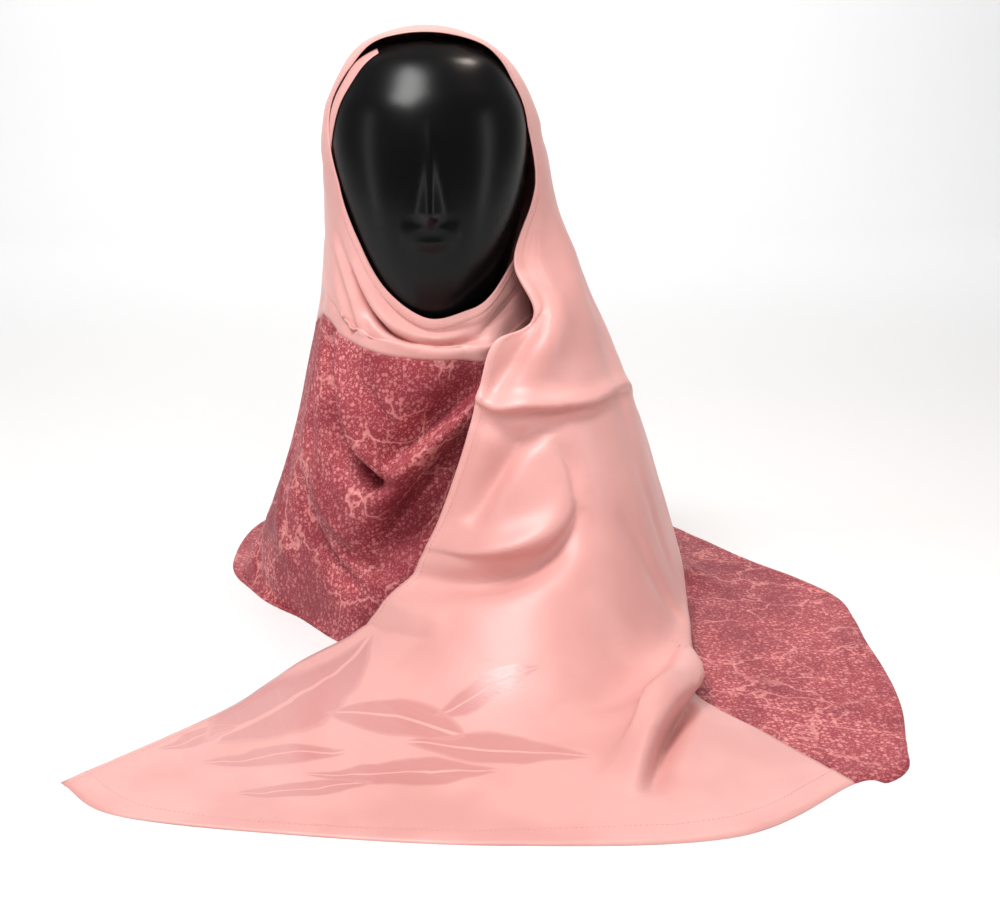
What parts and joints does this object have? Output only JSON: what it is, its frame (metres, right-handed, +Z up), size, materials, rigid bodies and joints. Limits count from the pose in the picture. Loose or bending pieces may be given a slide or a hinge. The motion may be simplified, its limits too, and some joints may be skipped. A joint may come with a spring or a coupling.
{
  "type": "hijab headscarf on a display head",
  "caption": "Long two-panel headscarf draped over a gloss black display head, with one end wrapped under the chin and the other fallen down the front and spread on the table.",
  "frame": {"origin": "centre of the display head's flat base, on the table", "axes": "+Z up, -Y the side the face looks to, +X the viewer's right"},
  "size_m": [0.5833, 0.7683, 0.4697],
  "materials": {
    "plain_satin": "soft dusty pink satin",
    "printed_satin": "dark rose satin with a fine pale speckle print",
    "display_head": "gloss black"
  },
  "bodies": {
    "root": {"stand_head": "display_head", "hood": "plain_satin", "back_plain": "plain_satin", "chin_wrap": "plain_satin", "temple_tuck": "plain_satin", "front_fall": "plain_satin", "print_drape": "printed_satin", "back_print": "printed_satin", "print_tail": "printed_satin"}
  },
  "joints": []
}
